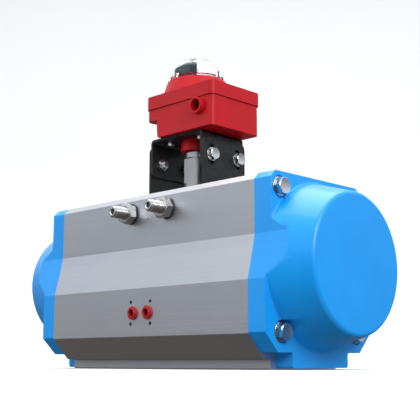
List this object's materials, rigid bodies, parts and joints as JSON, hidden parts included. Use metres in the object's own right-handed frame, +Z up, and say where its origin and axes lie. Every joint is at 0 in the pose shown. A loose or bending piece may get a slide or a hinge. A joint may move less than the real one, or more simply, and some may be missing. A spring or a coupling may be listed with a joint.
{
  "type": "rotary pneumatic actuator",
  "caption": "Double-acting rack-and-pinion quarter-turn pneumatic actuator with blue end caps, a red position box on a black bracket, and a clear indicator dome.",
  "frame": {"origin": "centre of the valve flange bolt circle, in the plane of the foot's underside, on the pinion axis", "axes": "+X along the cylinder to the right-hand cap, -Y out of the side with the air ports and stop screws, +Z up the pinion to the indicator"},
  "size_m": [0.458, 0.1917, 0.376],
  "materials": {
    "anodised_body": "fine satin anodised extrusion",
    "cap_blue": "satin epoxy coating on a die casting",
    "seal_rubber": "moulded rubber",
    "zinc_steel": "bright stainless fasteners",
    "cast_alloy": "bare die-cast alloy, machined faces",
    "bearing_plastic": "acetal",
    "plated_steel": "nickel-plated machined steel",
    "spring_steel": "phosphated spring steel",
    "plug_red": "moulded polythene",
    "black_steel": "black powder coating",
    "box_red": "powder-coated die casting",
    "bronze": "sintered bronze",
    "cam_red": "moulded",
    "cam_yellow": "moulded",
    "carrier_plate": "zinc-plated plate",
    "sensor_black": "moulded housing",
    "terminal_plastic": "moulded polyamide",
    "clear_plastic": "clear polycarbonate",
    "drum_white": "moulded",
    "flag_slate": "moulded"
  },
  "bodies": {
    "housing": {"body": "anodised_body", "end_cap_right": "cap_blue", "end_cap_left": "cap_blue", "cap_seals": "seal_rubber", "cap_screws_right": "zinc_steel", "cap_screws_left": "zinc_steel", "cap_washers": "zinc_steel", "lower_bush": "bearing_plastic", "upper_bush": "bearing_plastic", "thrust_washer": "bearing_plastic", "stop_screw_right": "zinc_steel", "stop_screw_left": "zinc_steel", "stop_nuts": "zinc_steel", "stop_seal_washers": "seal_rubber", "port_plugs": "plug_red", "bracket_top": "black_steel", "bracket_foot_right": "black_steel", "bracket_foot_left": "black_steel", "bracket_bolts": "zinc_steel", "bracket_nuts": "zinc_steel", "bracket_base_screws": "zinc_steel", "box_base": "box_red", "box_hub": "box_red", "conduit_collar": "box_red", "box_gasket": "seal_rubber", "box_lid": "box_red", "lid_screws": "zinc_steel", "box_mount_screws": "zinc_steel", "shaft_bush": "bronze", "switch_carrier": "carrier_plate", "sensor_open": "sensor_black", "sensor_shut": "sensor_black", "sensor_screws": "zinc_steel", "terminal_strip": "terminal_plastic", "terminal_screws": "zinc_steel", "indicator_dome": "clear_plastic", "dome_seal": "seal_rubber", "dome_screws": "zinc_steel"},
    "pinion": {"pinion": "plated_steel", "pinion_seals": "seal_rubber", "stop_cam": "plated_steel", "circlip": "spring_steel", "steel_washer": "zinc_steel"},
    "right_piston": {"piston_right": "cast_alloy", "piston_seal_right": "seal_rubber", "piston_band_right": "bearing_plastic", "piston_pad_right": "bearing_plastic"},
    "left_piston": {"piston_left": "cast_alloy", "piston_seal_left": "seal_rubber", "piston_band_left": "bearing_plastic", "piston_pad_left": "bearing_plastic"},
    "indicator": {"switch_shaft": "plated_steel", "shaft_circlip": "spring_steel", "switch_cam_upper": "cam_red", "switch_cam_lower": "cam_yellow", "beacon_drum": "drum_white", "beacon_flags": "flag_slate"}
  },
  "joints": [
    {"name": "pinion_turn", "type": "hinge", "parent": "housing", "child": "pinion", "pos_m": [0, 0, 0.105], "axis": [0, 0, 1], "range_deg": [0, 90]},
    {"name": "right_piston_slide", "type": "slide", "parent": "housing", "child": "right_piston", "axis": [1, 0, 0], "range_m": [0, 0.0354]},
    {"name": "left_piston_slide", "type": "slide", "parent": "housing", "child": "left_piston", "axis": [-1, 0, 0], "range_m": [0, 0.0354]},
    {"name": "indicator_turn", "type": "hinge", "parent": "housing", "child": "indicator", "pos_m": [0, 0, 0.3], "axis": [0, 0, 1], "range_deg": [0, 90]}
  ],
  "couplings": [
    {"joint": "right_piston_slide", "follows": "pinion_turn", "m_per_rad": 0.0225},
    {"joint": "left_piston_slide", "follows": "pinion_turn", "m_per_rad": 0.0225},
    {"joint": "indicator_turn", "follows": "pinion_turn", "ratio": 1}
  ]
}
